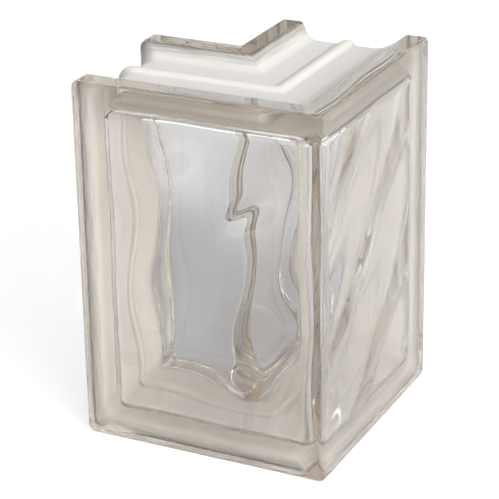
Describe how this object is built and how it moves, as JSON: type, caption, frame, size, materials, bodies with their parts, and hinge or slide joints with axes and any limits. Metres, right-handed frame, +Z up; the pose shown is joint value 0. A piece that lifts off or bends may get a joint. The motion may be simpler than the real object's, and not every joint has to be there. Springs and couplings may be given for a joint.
{
  "type": "corner glass block",
  "caption": "Hollow right-angled glass block with smooth outer faces, waved inner relief and a recessed mortar channel, for turning a glass block wall round a corner.",
  "frame": {"origin": "centre of the block's base, halfway along both outer faces", "axes": "+Z up along the block's height; -Y out of the left outer face and +X out of the right outer face, which meet at the upright fold at +X -Y"},
  "size_m": [0.132, 0.132, 0.19],
  "materials": {
    "pressed_glass": "clear pressed soda-lime glass, smooth outside and waved inside, with an opaque white coat baked onto the mortar channels"
  },
  "bodies": {
    "root": {"outer_shell": "pressed_glass", "inner_shell": "pressed_glass"}
  },
  "joints": []
}
